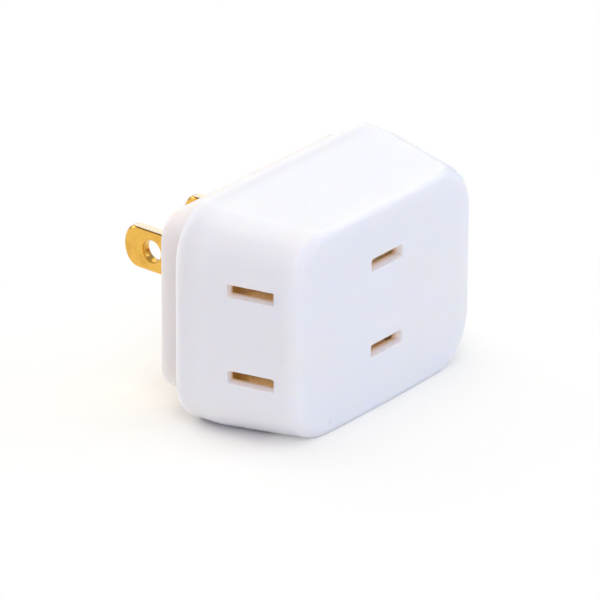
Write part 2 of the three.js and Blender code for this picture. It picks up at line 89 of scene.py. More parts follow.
@dataclass
class Layout:
    """Sizes that several pieces share, in millimetres."""

    front_width: float = 38.6
    front_height: float = 30.0
    body_width: float = 45.0
    body_height: float = 32.0
    body_depth: float = 18.2
    skirt_depth: float = 4.8
    corner_radius: float = 6.8
    cover_depth: float = 5.3
    pin_pitch: float = 12.7
    slot_rise: float = 0.5
    side_outlet_setback: float = 6.9
    rest_back: float = -19.854382
    rest_lift: float = 14.977409

    @property
    def draft(self) -> float:
        """Angle of the top and bottom faces to the plug axis."""
        return math.atan((self.body_height - self.front_height) / 2 / self.body_depth)

    @property
    def skirt_start(self) -> float:
        """Depth at which the straight skirt begins."""
        return self.body_depth - self.skirt_depth

    @property
    def taper(self) -> float:
        """Angle of the side faces to the plug axis."""
        return math.atan((self.body_width - self.front_width) / 2 / self.skirt_start)

    @property
    def blade_face(self) -> float:
        """Depth of the face that the blades come out of."""
        return self.body_depth + self.cover_depth

    @property
    def rest(self) -> Matrix:
        """Turns millimetres in the plug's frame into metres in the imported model's frame."""
        shift = Matrix.Translation((0, self.rest_back, self.rest_lift))
        return Matrix.Scale(MM, 4) @ shift @ Matrix.Rotation(self.draft, 4, "X")

    def outlet_heights(self) -> list[float]:
        """Heights of the two slots of an outlet above the mid-plane."""
        return [self.slot_rise + side * self.pin_pitch / 2 for side in (-1, 1)]


# Shader graphs


@dataclass(frozen=True)
class Pattern:
    """A noise pattern: cells per metre, octaves and the weight of the finer octaves."""

    per_metre: float
    detail: float = 2.0
    rough: float = 0.5


class Wire:
    """An output socket that takes part in Python arithmetic."""

    def __init__(self, graph: "Graph", socket: bpy.types.NodeSocket) -> None:
        """Keeps the graph that new Math nodes go into, and the socket."""
        self.graph = graph
        self.socket = socket

    def _math(self, operation: str, *values: Value) -> "Wire":
        """Adds one Math node.

        Args:
            operation: The Math node's operation.
            values: Its inputs in order, wires or numbers.

        Returns:
            The node's result.
        """
        inputs = dict(enumerate(values))
        return self.graph.add("ShaderNodeMath", {"operation": operation}, inputs)

    def __add__(self, other: Value) -> "Wire":
        """Sum."""
        return self._math("ADD", self, other)

    def __radd__(self, other: Value) -> "Wire":
        """Sum with a number on the left."""
        return self._math("ADD", other, self)

    def __sub__(self, other: Value) -> "Wire":
        """Difference."""
        return self._math("SUBTRACT", self, other)

    def __rsub__(self, other: Value) -> "Wire":
        """Difference from a number."""
        return self._math("SUBTRACT", other, self)

    def __mul__(self, other: Value) -> "Wire":
        """Product."""
        return self._math("MULTIPLY", self, other)

    def __rmul__(self, other: Value) -> "Wire":
        """Product with a number on the left."""
        return self._math("MULTIPLY", other, self)

    def __pow__(self, other: Value) -> "Wire":
        """Power."""
        return self._math("POWER", self, other)

    def __rpow__(self, other: Value) -> "Wire":
        """Power of a number."""
        return self._math("POWER", other, self)

    def away_from(self, value: Value) -> "Wire":
        """Distance of the signal from a value."""
        return self._math("ABSOLUTE", self - value)

    def over(self, value: Value) -> "Wire":
        """What the signal has above a value, or 0."""
        return self._math("MAXIMUM", self - value, 0.0)

    def capped(self, value: Value) -> "Wire":
        """The signal, at most a value."""
        return self._math("MINIMUM", self, value)

    def sibling(self, name: str) -> "Wire":
        """Another output of the same node."""
        return Wire(self.graph, self.socket.node.outputs[name])

    def ramp(self, low: float, high: float) -> "Wire":
        """Rises smoothly from 0 at low to 1 at high.

        Args:
            low: Value that becomes 0.
            high: Value that becomes 1.

        Returns:
            The smoothed signal, held between 0 and 1.
        """
        settings = {"interpolation_type": "SMOOTHSTEP"}
        inputs = {"Value": self, "From Min": low, "From Max": high}
        return self.graph.add("ShaderNodeMapRange", settings, inputs)


class Graph:
    """The node tree of one material or world."""

    def __init__(self, tree: bpy.types.NodeTree) -> None:
        """Empties the tree so that only this script's nodes are in it."""
        self.tree = tree
        self.tree.nodes.clear()

    def add(
        self,
        kind: str,
        settings: Optional[dict[str, Any]] = None,
        inputs: Optional[dict[Any, Any]] = None,
        output: Any = 0,
    ) -> Wire:
        """Adds one node of any kind.

        Args:
            kind: The node's type name.
            settings: Properties that are set first.
            inputs: Values or wires by input name or number.
            output: Name or number of the output that is returned.

        Returns:
            The chosen output.
        """
        node = self.tree.nodes.new(kind)
        for key, value in (settings or {}).items():
            setattr(node, key, value)
        for key, value in (inputs or {}).items():
            if isinstance(value, Wire):
                self.tree.links.new(value.socket, node.inputs[key])
            else:
                node.inputs[key].default_value = value
        return Wire(self, node.outputs[output])

    def close(self, kind: str, surface: Wire) -> None:
        """Adds the output node, which has no outputs of its own."""
        self.tree.links.new(surface.socket, self.tree.nodes.new(kind).inputs["Surface"])

    def position(self) -> Wire:
        """Object coordinates in metres."""
        return self.add("ShaderNodeTexCoord", None, None, "Object")

    def noise(self, place: Wire, pattern: Pattern) -> Wire:
        """Noise over a place.

        Args:
            place: Coordinates in metres.
            pattern: Size and fineness of the noise.

        Returns:
            The noise, about 0.5 in the middle.
        """
        return self.add("ShaderNodeTexNoise", None, {
            "Vector": place,
            "Scale": pattern.per_metre,
            "Detail": pattern.detail,
            "Roughness": pattern.rough,
        }, "Fac")

    def mapped(self, place: Wire, scale: Span3, turn: Span3 = (0.0, 0.0, 0.0)) -> Wire:
        """Coordinates stretched and turned by a Mapping node."""
        inputs = {"Vector": place, "Scale": scale, "Rotation": turn}
        return self.add("ShaderNodeMapping", {"vector_type": "POINT"}, inputs)

    def plug_place(self, layout: Layout) -> Wire:
        """Coordinates in the plug's own frame, in metres.

        Args:
            layout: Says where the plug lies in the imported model's frame.

        Returns:
            The coordinates.
        """
        inputs = {
            "Vector": self.position(),
            "Location": (0.0, layout.rest_back * MM, layout.rest_lift * MM),
            "Rotation": (layout.draft, 0.0, 0.0),
        }
        return self.add("ShaderNodeMapping", {"vector_type": "TEXTURE"}, inputs)

    def split(self, vector: Wire, axis: str) -> Wire:
        """One coordinate of a vector."""
        return self.add("ShaderNodeSeparateXYZ", None, {0: vector}, axis)

    def blend(self, amount: Value, first: Any, second: Any) -> Wire:
        """Colour between two colours.

        Args:
            amount: 0 gives the first, 1 the second.
            first: Colour or wire.
            second: Colour or wire.

        Returns:
            The mixed colour.
        """
        settings = {"data_type": "RGBA", "blend_type": "MIX"}
        inputs = {0: amount, 6: self._rgba(first), 7: self._rgba(second)}
        return self.add("ShaderNodeMix", settings, inputs, 2)

    @staticmethod
    def _rgba(colour: Any) -> Any:
        """A colour with its alpha, or the wire as it is."""
        return colour if isinstance(colour, Wire) else (*colour, 1.0)

    def bump(self, height: Wire, distance: float, strength: float) -> Wire:
        """Normal that follows a height.

        Args:
            height: The height, 0 to 1.
            distance: Size of that height in metres.
            strength: Share of it that shows.

        Returns:
            The bent normal.
        """
        inputs = {"Height": height, "Distance": distance, "Strength": strength}
        return self.add("ShaderNodeBump", None, inputs)


def linear(red: int, green: int, blue: int) -> Colour:
    """Linear colour of an 8-bit sRGB colour."""
    return tuple(Color((red / 255, green / 255, blue / 255)).from_srgb_to_scene_linear())


# Finishes


@dataclass(frozen=True, kw_only=True)
class Finish:
    """A procedural material that is worked out from the place on the surface."""

    name: str

    def make(self) -> bpy.types.Material:
        """Builds the material.

        Returns:
            The material.
        """
        material = bpy.data.materials.new(self.name)
        material.use_nodes = True
        graph = Graph(material.node_tree)
        graph.close("ShaderNodeOutputMaterial", self._shade(graph))
        return material

    def _shade(self, graph: Graph) -> Wire:
        """The finish's shader, which each kind of finish builds for itself."""
        raise NotImplementedError


@dataclass(frozen=True, kw_only=True)
class MouldedPlastic(Finish):
    """Glossy white moulded plastic that lets a little light in.

    The four slot ranges mark off the slots' surroundings in the plug's own frame, where a
    painted glow stands in for the brass's light.
    """

    layout: Layout
    name: str = "white_moulded_plastic"
    tone: Colour = linear(238, 238, 243)
    warm_tone: Colour = linear(240, 237, 231)
    clouds: Pattern = Pattern(55.0, 3.0)
    cloud_range: Span = (0.42, 0.78)
    cloud_share: float = 0.6
    flow: Pattern = Pattern(240.0)
    flow_stretch: Span3 = (1.0, 0.35, 1.0)
    roughness: float = 0.3
    roughness_spread: float = 0.1
    grain: Pattern = Pattern(2600.0)
    grain_share: float = 0.25
    ripple: Pattern = Pattern(130.0, 1.0)
    bump_height: float = 0.03 * MM
    bump_strength: float = 0.5
    refraction: float = 1.5
    coat_share: float = 0.15
    coat_roughness: float = 0.12
    glow_depth: float = 2.2 * MM
    glow_radius: Span3 = (1.0, 0.82, 0.62)
    # The slot walls get a painted glow: colour and emission that stand in for light from the
    # brass.
    painted_glow_tone: Colour = linear(226, 219, 220)
    painted_deep_glow_tone: Colour = linear(232, 190, 142)
    painted_glow_range: Span = (0.02 * MM, 0.8 * MM)
    painted_deep_glow_range: Span = (1.1 * MM, 1.5 * MM)
    painted_glow_share: float = 0.7
    painted_glow_level: float = 0.22
    front_slots: Span = (5.0 * MM, 4.6 * MM)
    side_slots: Span = (2.4 * MM, 2.8 * MM)
    slots_behind: Span = (11.6 * MM, 11.2 * MM)
    slots_beside: Span = (9.4 * MM, 9.0 * MM)

    def _slot_depth(self, graph: Graph) -> Wire:
        """How deep in a slot a place is, which sets its painted glow, standing in for light from
        the brass contacts.

        Args:
            graph: The material's graph.

        Returns:
            0 on the outer skin, else the depth below it in metres.
        """
        layout = self.layout
        place = graph.plug_place(layout)
        across = graph.split(place, "X").away_from(0.0)
        depth = graph.split(place, "Y")
        height = graph.split(place, "Z").away_from(0.0)
        widening = depth.capped(layout.skirt_start * MM) * math.tan(layout.taper)
        below_side = (layout.front_width / 2 * MM + widening - across) * math.cos(layout.taper)
        front = depth * across.ramp(*self.front_slots)
        side = below_side * depth.ramp(*self.side_slots)
        near = depth.ramp(*self.slots_behind) * height.ramp(*self.slots_beside)
        return (front + side) * near

    def _shade(self, graph: Graph) -> Wire:
        """Plastic with faint clouds, flow lines and grain, and a painted glow in its slots for
        the brass's light.

        Args:
            graph: The material's graph.

        Returns:
            The shader.
        """
        place = graph.position()
        clouds = graph.noise(place, self.clouds).ramp(*self.cloud_range)
        skin = graph.blend(clouds * self.cloud_share, self.tone, self.warm_tone)
        flow = graph.noise(graph.mapped(place, self.flow_stretch), self.flow)
        grain = graph.noise(place, self.grain) * self.grain_share
        ripple = graph.noise(place, self.ripple) * (1.0 - self.grain_share)
        # Painted glow: the slot walls take a warm colour and emission in place of the brass's
        # light.
        depth = self._slot_depth(graph)
        painted_glow_mask = depth.ramp(*self.painted_glow_range)
        painted_glow = graph.blend(depth.ramp(*self.painted_deep_glow_range), self.painted_glow_tone, self.painted_deep_glow_tone)
        return graph.add("ShaderNodeBsdfPrincipled", {"subsurface_method": "RANDOM_WALK"}, {
            "Base Color": graph.blend(painted_glow_mask * self.painted_glow_share, skin, painted_glow),
            "Roughness": self.roughness + (flow - NOISE_MIDDLE) * self.roughness_spread,
            "Normal": graph.bump(grain + ripple, self.bump_height, self.bump_strength),
            "IOR": self.refraction,
            "Subsurface Weight": 1.0,
            "Subsurface Radius": self.glow_radius,
            "Subsurface Scale": self.glow_depth,
            "Coat Weight": self.coat_share,
            "Coat Roughness": self.coat_roughness,
            "Emission Color": graph.blend(painted_glow_mask, BLACK, painted_glow),
            "Emission Strength": self.painted_glow_level,
        })


@dataclass(frozen=True, kw_only=True)
class CoverPlastic(MouldedPlastic):
    """The cover's plastic, a little greyer as painted shade, with a painted glow for the brass's
    light on its hidden inner side.
    """

    name: str = "cover_moulded_plastic"
    # The greyer tones are painted shade, standing in for the dimmer light on the cover.
    tone: Colour = linear(233, 229, 229)
    warm_tone: Colour = linear(233, 228, 222)
    # Painted glow on the cover's hidden inner side, standing in for light from the brass.
    painted_deep_glow_tone: Colour = linear(196, 140, 62)
    inner_side: Span = (17.8 * MM, 17.5 * MM)
    inner_depth: float = 2.0 * MM

    def _slot_depth(self, graph: Graph) -> Wire:
        """Depth that is large on the inner side of the cover, where the painted glow goes, and 0
        on its outside.
        """
        depth = graph.split(graph.plug_place(self.layout), "Y")
        return depth.ramp(*self.inner_side) * self.inner_depth


@dataclass(frozen=True, kw_only=True)
class RolledMetal(Finish):
    """Sheet metal with rolling lines, stains and small marks.

    grain_stretch shapes the lines: its smallest number is the axis that they run along.
    """

    tone: Colour
    stain: Colour
    lines: Pattern = Pattern(5200.0, 3.0)
    stains: Pattern = Pattern(420.0, 4.0, 0.6)
    marks: Pattern = Pattern(1500.0)
    stain_range: Span = (0.48, 0.74)
    stain_share: float = 0.5
    mark_range: Span = (0.6, 0.75)
    mark_share: float = 0.15
    roughness: float = 0.26
    line_share: float = 0.16
    wear_share: float = 0.12
    line_height: float = 0.7
    bump_height: float = 0.012 * MM
    bump_strength: float = 0.6
    grain_stretch: Span3 = (1.0, 0.04, 1.0)
    grain_turn: Span3 = (0.0, 0.0, 0.0)

    def _place(self, graph: Graph) -> Wire:
        """Coordinates that the patterns follow."""
        return graph.position()

    def _sockets(self, graph: Graph) -> dict[str, Any]:
        """What goes into the shader.

        Args:
            graph: The material's graph.

        Returns:
            Values and wires by the shader's socket names.
        """
        place = self._place(graph)
        lines = graph.noise(graph.mapped(place, self.grain_stretch, self.grain_turn), self.lines)
        marks = graph.noise(place, self.marks)
        stains = graph.noise(place, self.stains).ramp(*self.stain_range) * self.stain_share
        wear = stains + marks.ramp(*self.mark_range) * self.mark_share
        height = lines * self.line_height + marks * (1.0 - self.line_height)
        spread = (lines - NOISE_MIDDLE) * self.line_share
        return {
            "Base Color": graph.blend(wear, self.tone, self.stain),
            "Metallic": 1.0,
            "Roughness": self.roughness + spread + wear * self.wear_share,
            "Normal": graph.bump(height, self.bump_height, self.bump_strength),
        }

    def _shade(self, graph: Graph) -> Wire:
        """The metal's shader."""
        return graph.add("ShaderNodeBsdfPrincipled", None, self._sockets(graph))


@dataclass(frozen=True, kw_only=True)
class BladeBrass(RolledMetal):
    """Brass of the plug blades: rolled sides, and a painted highlight along the top edge with a
    dark line under it.
    """

    layout: Layout
    name: str = "blade_brass_rolled"
    tone: Colour = linear(241, 189, 89)
    stain: Colour = linear(206, 148, 58)
    stain_range: Span = (0.46, 0.72)
    stain_share: float = 0.4
    roughness: float = 0.24
    line_share: float = 0.18
    # A pale, less metallic band along the top edge only is a painted highlight; a dark line lies
    # under it.
    painted_highlight_tone: Colour = linear(246, 234, 208)
    painted_highlight_range: Span = (2.96 * MM, 3.04 * MM)
    painted_highlight_dullness: float = 0.6
    painted_highlight_roughness: float = 0.2
    top_edge_dark_tone: Colour = linear(146, 98, 34)
    top_edge_dark_range: Span = (2.82 * MM, 2.9 * MM)

    def _place(self, graph: Graph) -> Wire:
        """Coordinates in the plug's own frame."""
        return graph.plug_place(self.layout)

    def _sockets(self, graph: Graph) -> dict[str, Any]:
        """What goes into the shader, with the dark line and the painted highlight along the top
        edge.

        Args:
            graph: The material's graph.

        Returns:
            Values and wires by the shader's socket names.
        """
        sockets = super()._sockets(graph)
        height = graph.split(self._place(graph), "Z")
        # Painted highlight along the top edge, with the dark line just under it.
        edge = height.ramp(*self.painted_highlight_range)
        lined = graph.blend(height.ramp(*self.top_edge_dark_range), sockets["Base Color"], self.top_edge_dark_tone)
        sockets["Base Color"] = graph.blend(edge, lined, self.painted_highlight_tone)
        sockets["Metallic"] = 1.0 - edge * self.painted_highlight_dullness
        sockets["Roughness"] = sockets["Roughness"] + edge * self.painted_highlight_roughness
        return sockets


@dataclass(frozen=True, kw_only=True)
class StudioFloor(Finish):
    """Pale floor that fades into plain white away from the object."""

    name: str = "studio_floor"
    tone: Colour = (0.958, 0.945, 0.905)
    speckle: Pattern = Pattern(300.0)
    speckle_tone: float = 0.985
    foot_x: float = 19.0 * MM
    foot_y: float = 12.0 * MM
    fade: float = 40.0 * MM
    fade_power: float = 0.55

    def _shade(self, graph: Graph) -> Wire:
        """Matt near the object, plain white to the camera and mirrors farther off.

        Args:
            graph: The material's graph.

        Returns:
            The shader.
        """
        place = graph.position()
        second = tuple(self.speckle_tone * value for value in self.tone)
        colour = graph.blend(graph.noise(place, self.speckle), self.tone, second)
        matt = graph.add("ShaderNodeBsdfDiffuse", None, {"Color": colour})
        white = graph.add("ShaderNodeEmission", None, {"Color": WHITE, "Strength": 1.0})
        beside = graph.split(place, "X").away_from(0.0).over(self.foot_x)
        before = graph.split(place, "Y").away_from(0.0).over(self.foot_y)
        reach = (beside * beside + before * before) ** 0.5
        faded = (reach * (1.0 / self.fade)).capped(1.0) ** self.fade_power
        path = graph.add("ShaderNodeLightPath", None, None, "Is Camera Ray")
        glossy = path.sibling("Is Glossy Ray")
        through = path.sibling("Is Transmission Ray")
        seen = (path + glossy + through).capped(1.0)
        return graph.add("ShaderNodeMixShader", None, {0: seen * faded, 1: matt, 2: white})


# Forming tools


class Form:
    """A bmesh that is cut, bent and rounded in steps. Sizes are in millimetres."""

    def __init__(self) -> None:
        """Starts with an empty mesh."""
        self.mesh = bmesh.new()

    def block(self, low: Sequence[float], high: Sequence[float]) -> "Form":
        """Adds a block between two corners.

        Args:
            low: Lowest corner.
            high: Highest corner.

        Returns:
            The form itself.
        """
        size = [b - a for a, b in zip(low, high)]
        middle = [(a + b) / 2 for a, b in zip(low, high)]
        matrix = Matrix.Translation(middle) @ Matrix.Diagonal((*size, 1.0))
        bmesh.ops.create_cube(self.mesh, size=1.0, matrix=matrix)
        return self

    def edges(self, test: Test) -> list[bmesh.types.BMEdge]:
        """The edges that pass a test."""
        return [edge for edge in self.mesh.edges if test(edge)]

    def faces(self, test: Test) -> list[bmesh.types.BMFace]:
        """The faces that pass a test."""
        return [face for face in self.mesh.faces if test(face)]

    def push(
        self, faces: list[bmesh.types.BMFace], travel: float, inset: float = 0.0,
    ) -> list[bmesh.types.BMFace]:
        """Extrudes faces and moves the new ones along Y.

        Args:
            faces: The faces.
            travel: How far they move.
            inset: Width of the rim that stays behind.

        Returns:
            The moved faces.
        """
        if inset:
            bmesh.ops.inset_region(self.mesh, faces=faces, thickness=inset, use_even_offset=True)
        moved = bmesh.ops.extrude_discrete_faces(self.mesh, faces=faces)["faces"]
        verts = list({vert for face in moved for vert in face.verts})
        bmesh.ops.translate(self.mesh, verts=verts, vec=(0, travel, 0))
        return moved

    def round_edges(
        self, edges: Iterable[bmesh.types.BMEdge], radius: float, segments: int,
    ) -> None:
        """Bevels edges.

        Args:
            edges: The edges.
            radius: Distance that the bevel takes from each side.
            segments: Steps round the bevel.
        """
        bmesh.ops.bevel(
            self.mesh, geom=list(edges), offset=radius, offset_type="OFFSET",
            segments=segments, profile=0.5, affect="EDGES", material=-1, clamp_overlap=True,
        )

    def slice(
        self,
        normal: Sequence[float],
        points: Iterable[Sequence[float]],
        test: Test = lambda face: True,
    ) -> None:
        """Cuts the faces along parallel planes.

        Args:
            normal: The planes' normal.
            points: A point on each plane.
            test: Chooses the faces that are cut.
        """
        for point in points:
            faces = self.faces(test)
            edges = {edge for face in faces for edge in face.edges}
            verts = {vert for face in faces for vert in face.verts}
            bmesh.ops.bisect_plane(
                self.mesh, geom=[*faces, *edges, *verts], dist=TOUCH,
                plane_co=point, plane_no=normal,
            )

    def bend(self, warp: Callable[[Vector], Vector]) -> None:
        """Moves every point by a function of its place."""
        for vert in self.mesh.verts:
            vert.co = warp(vert.co)

    def place(self, matrix: Matrix) -> None:
        """Moves the whole form."""
        bmesh.ops.transform(self.mesh, matrix=matrix, verts=self.mesh.verts)

    def piece(self, name: str, smooth_below: float) -> bpy.types.Object:
        """Makes the finished object and frees the form.

        Args:
            name: The object's name.
            smooth_below: Edges with a larger angle, in radians, stay sharp.

        Returns:
            The object, at the origin.
        """
        bmesh.ops.remove_doubles(self.mesh, verts=self.mesh.verts, dist=TOUCH * MM)
        bmesh.ops.recalc_face_normals(self.mesh, faces=self.mesh.faces)
        for face in self.mesh.faces:
            face.smooth = True
        for edge in self.mesh.edges:
            edge.smooth = len(edge.link_faces) != 2 or edge.calc_face_angle() < smooth_below
        data = bpy.data.meshes.new(name)
        self.mesh.to_mesh(data)
        self.mesh.free()
        piece = linked(name, data)
        # Large faces set the normals at their edges, so that flat stretches stay flat.
        modifier = piece.modifiers.new("even_normals", "WEIGHTED_NORMAL")
        modifier.mode = "FACE_AREA"
        modifier.weight = FLAT_WEIGHT
        modifier.keep_sharp = True
        return piece


def linked(name: str, data: Any) -> bpy.types.Object:
    """Makes an object of the data and adds it to the scene.

    Args:
        name: The object's name.
        data: Its mesh, light or camera.

    Returns:
        The object, at the origin.
    """
    made = bpy.data.objects.new(name, data)
    bpy.context.scene.collection.objects.link(made)
    return made


def lengthwise(edge: bmesh.types.BMEdge) -> bool:
    """Whether an edge runs along the plug axis."""
    return abs((edge.verts[0].co - edge.verts[1].co).y) > LENGTHWISE_SPAN


def faces_back(face: bmesh.types.BMFace) -> bool:
    """Whether a face looks towards the wall side."""
    return face.normal.y > FACING


@dataclass
class Outlet:
    """Place of one pair of slots. Its own +Y runs into the slot."""

    origin: Vector
    turn: float

    @property
    def inward(self) -> Matrix:
        """Turns a point in the plug's frame into the outlet's own frame."""
        return (Matrix.Translation(self.origin) @ Matrix.Rotation(self.turn, 4, "Z")).inverted()

    @property
    def along(self) -> Vector:
        """Direction along the slot."""
        return Vector((math.cos(self.turn), math.sin(self.turn), 0))


@dataclass
class HousingShell:
    """The white body: a thick-walled tapered box, open at the back, with six slots."""

    layout: Layout
    wall: float = 1.8
    rim_wall: float = 1.0
    rim_recess: float = 1.9
    corner_radius: float = 7.8
    front_fillet: float = 1.5
    flat_cut: float = 0.4
    crease_round: float = 0.14
    front_crown: float = 0.45
    kink_round: float = 0.7
    slot_length: float = 6.8
    slot_height: float = 1.85
    slot_corner: float = 0.3
    slot_lead_in: float = 0.25
    corner_steps: int = 14
    fillet_steps: int = 8
    crease_steps: int = 2
    kink_steps: int = 4
    slot_steps: int = 3
    slice_pitch: float = 1.1
    kink_angle: float = math.radians(2)
    wall_facing: float = 0.8
    wall_margin: float = 0.5
    mouth_depth: float = 0.3
    mouth_margin: float = 0.02
    smooth_below: float = math.radians(32)

    def build(self) -> bpy.types.Object:
        """Builds the body.

        Returns:
            The finished piece.
        """
        form = self._blank()
        self._round_front(form)
        self._flatten(form)
        self._slice(form)
        form.bend(self._taper_and_crown)
        self._soften_kink(form)
        heights = [
            height + side * self.slot_height / 2
            for height in self.layout.outlet_heights() for side in (-1, 1)
        ]
        form.slice((0, 0, 1), [(0, 0, height) for height in heights])
        for outlet in self._outlets():
            self._cut_slots(form, outlet)
        form.place(self.layout.rest)
        return form.piece("white_housing", self.smooth_below)

    def _outlets(self) -> list[Outlet]:
        """The front outlet and the two side outlets.

        Returns:
            The outlets.
        """
        sizes = self.layout
        setback = sizes.side_outlet_setback
        outlets = [Outlet(Vector((0, 0, 0)), 0.0)]
        for side in Side:
            x = side.value * (sizes.front_width / 2 + setback * math.sin(sizes.taper))
            y = setback * math.cos(sizes.taper)
            outlets.append(Outlet(Vector((x, y, 0)), side.value * (math.pi / 2 - sizes.taper)))
        return outlets

    def _blank(self) -> Form:
        """Straight-sided box with its cavity, before it is tapered.

        Returns:
            The box.
        """
        sizes = self.layout
        half_x, half_z = sizes.body_width / 2, sizes.body_height / 2 + self.flat_cut
        form = Form().block((-half_x, 0, -half_z), (half_x, sizes.body_depth, half_z))
        form.round_edges(form.edges(lengthwise), self.corner_radius, self.corner_steps)
        back = form.faces(faces_back)
        depths = [
            (self.rim_wall, self.rim_recess),
            (self.wall - self.rim_wall, sizes.body_depth - self.rim_recess - self.wall),
        ]
        for inset, depth in depths:
            back = form.push(back, -depth, inset)
        return form

    def _round_front(self, form: Form) -> None:
        """Rounds the edge between the front face and the sides."""
        rim = form.edges(lambda e: max(abs(vert.co.y) for vert in e.verts) < ON_PLANE)
        form.round_edges(rim, self.front_fillet, self.fillet_steps)

    def _flatten(self, form: Form) -> None:
        """Cuts the top and bottom flat, which leaves a crease where they meet the rounding.

        Args:
            form: The straight box.
        """
        half_z = self.layout.body_height / 2
        for side in (-1, 1):
            everything = [*form.mesh.verts, *form.mesh.edges, *form.mesh.faces]
            cut = bmesh.ops.bisect_plane(
                form.mesh, geom=everything, dist=TOUCH, plane_co=(0, 0, side * half_z),
                plane_no=(0, 0, side), clear_outer=True,
            )
            rim = [item for item in cut["geom_cut"] if isinstance(item, bmesh.types.BMEdge)]
            bmesh.ops.contextual_create(form.mesh, geom=rim)
            rim = [edge for edge in rim if edge.is_valid]
            form.round_edges(rim, self.crease_round, self.crease_steps)

    def _slice(self, form: Form) -> None:
        """Adds the cuts that the crown and the taper need.

        Args:
            form: The straight box.
        """
        sizes = self.layout
        reach = sizes.body_width / 2 - self.front_fillet
        count = round(2 * reach / self.slice_pitch)
        cuts = [(-reach + 2 * reach * step / count, 0, 0) for step in range(1, count)]
        form.slice((1, 0, 0), cuts)
        form.slice((0, 1, 0), [(0, sizes.skirt_start, 0)])

    def _taper_and_crown(self, point: Vector) -> Vector:
        """Place of a point of the straight box on the real body.

        Args:
            point: Point of the straight box.

        Returns:
            The tapered and crowned place.
        """
        sizes = self.layout
        fade = (sizes.skirt_start - point.y) / (sizes.skirt_start - self.front_fillet)
        crown = self.front_crown * min(max(fade, 0.0), 1.0)
        reach = min(point.y + crown, sizes.skirt_start)
        narrow = (sizes.skirt_start - reach) * math.tan(sizes.taper)
        shallow = (sizes.body_depth - point.y) * math.tan(sizes.draft)
        x = self._pull_in(point.x, sizes.body_width / 2, narrow)
        z = self._pull_in(point.z, sizes.body_height / 2, shallow)
        back = crown * (x / (sizes.front_width / 2)) ** 2
        return Vector((x, point.y + back, z))

    def _pull_in(self, value: float, half: float, amount: float) -> float:
        """Moves a corner zone in rigidly and narrows what lies between the corners.

        Args:
            value: Coordinate on the straight box.
            half: Half size of the straight box.
            amount: How far its side moves in.

        Returns:
            The moved coordinate.
        """
        flat = half - self.corner_radius
        if abs(value) >= flat:
            return value - math.copysign(amount, value)
        return value * (flat - amount) / flat

    def _soften_kink(self, form: Form) -> None:
        """Rounds the bend between each tapered side and the skirt.

        Args:
            form: The tapered body.
        """
        start = self.layout.skirt_start
        outer = self.layout.body_width / 2 - self.corner_radius

        def at_kink(edge: bmesh.types.BMEdge) -> bool:
            """Whether an edge runs round the outside at the bend.

            Args:
                edge: The edge.

            Returns:
                True if it does.
            """
            on_line = all(abs(vert.co.y - start) < ON_PLANE for vert in edge.verts)
            turned = len(edge.link_faces) == 2 and edge.calc_face_angle() > self.kink_angle
            beside = all(abs(vert.co.x) > outer for vert in edge.verts)
            return on_line and turned and beside and edge.is_convex

        form.round_edges(form.edges(at_kink), self.kink_round, self.kink_steps)

    def _cut_slots(self, form: Form, outlet: Outlet) -> None:
        """Cuts both slots of an outlet through the wall.

        Args:
            form: The body.
            outlet: The outlet.
        """
        inward = outlet.inward
        half_length, half_height = self.slot_length / 2, self.slot_height / 2

        def on_wall(face: bmesh.types.BMFace) -> bool:
            """Whether a face is part of the wall that this outlet goes through.

            Args:
                face: The face.

            Returns:
                True if it is.
            """
            y = (inward @ face.calc_center_median()).y
            level = abs((inward.to_3x3() @ face.normal).y) > self.wall_facing
            return level and -self.wall_margin < y < self.wall + self.wall_margin

        ends = [outlet.origin + outlet.along * (side * half_length) for side in (-1, 1)]
        form.slice(outlet.along, ends, on_wall)
        for height in self.layout.outlet_heights():
            window = form.faces(
                lambda f: on_wall(f)
                and abs((inward @ f.calc_center_median()).x) < half_length
                and abs(f.calc_center_median().z - height) < half_height
            )
            rims = {edge for face in window for edge in face.edges
                    if sum(other in window for other in edge.link_faces) == 1}
            bmesh.ops.delete(form.mesh, geom=window, context="FACES")
            rims = [edge for edge in rims if edge.is_valid]
            made = bmesh.ops.bridge_loops(form.mesh, edges=rims)
            self._ease_slot(form, outlet, made["faces"], height)

    def _ease_slot(
        self, form: Form, outlet: Outlet, walls: list[bmesh.types.BMFace], height: float,
    ) -> None:
        """Rounds the corners of a slot and its edges at the face.

        Args:
            form: The body.
            outlet: The outlet.
            walls: The faces inside the slot.
            height: The slot's height above the mid-plane.
        """
        inward = outlet.inward
        half_length, half_height = self.slot_length / 2, self.slot_height / 2
        bmesh.ops.recalc_face_normals(form.mesh, faces=form.mesh.faces)
        corners = {
            edge for face in walls for edge in face.edges
            if all(other in walls for other in edge.link_faces)
            and edge.calc_face_angle(0.0) > SHARP_ANGLE
        }
        form.round_edges(corners, self.slot_corner, self.slot_steps)

        def at_mouth(edge: bmesh.types.BMEdge) -> bool:
            """Whether an edge is part of this slot's rim at the outer face.

            Args:
                edge: The edge.

            Returns:
                True if it is.
            """
            near = all(
                abs(place.y) < self.mouth_depth
                and abs(place.x) < half_length + self.mouth_margin
                and abs(place.z - height) < half_height + self.mouth_margin
                for place in [inward @ vert.co for vert in edge.verts]
            )
            return near and edge.calc_face_angle(0.0) > SHARP_ANGLE

        form.round_edges(form.edges(at_mouth), self.slot_lead_in, self.slot_steps)


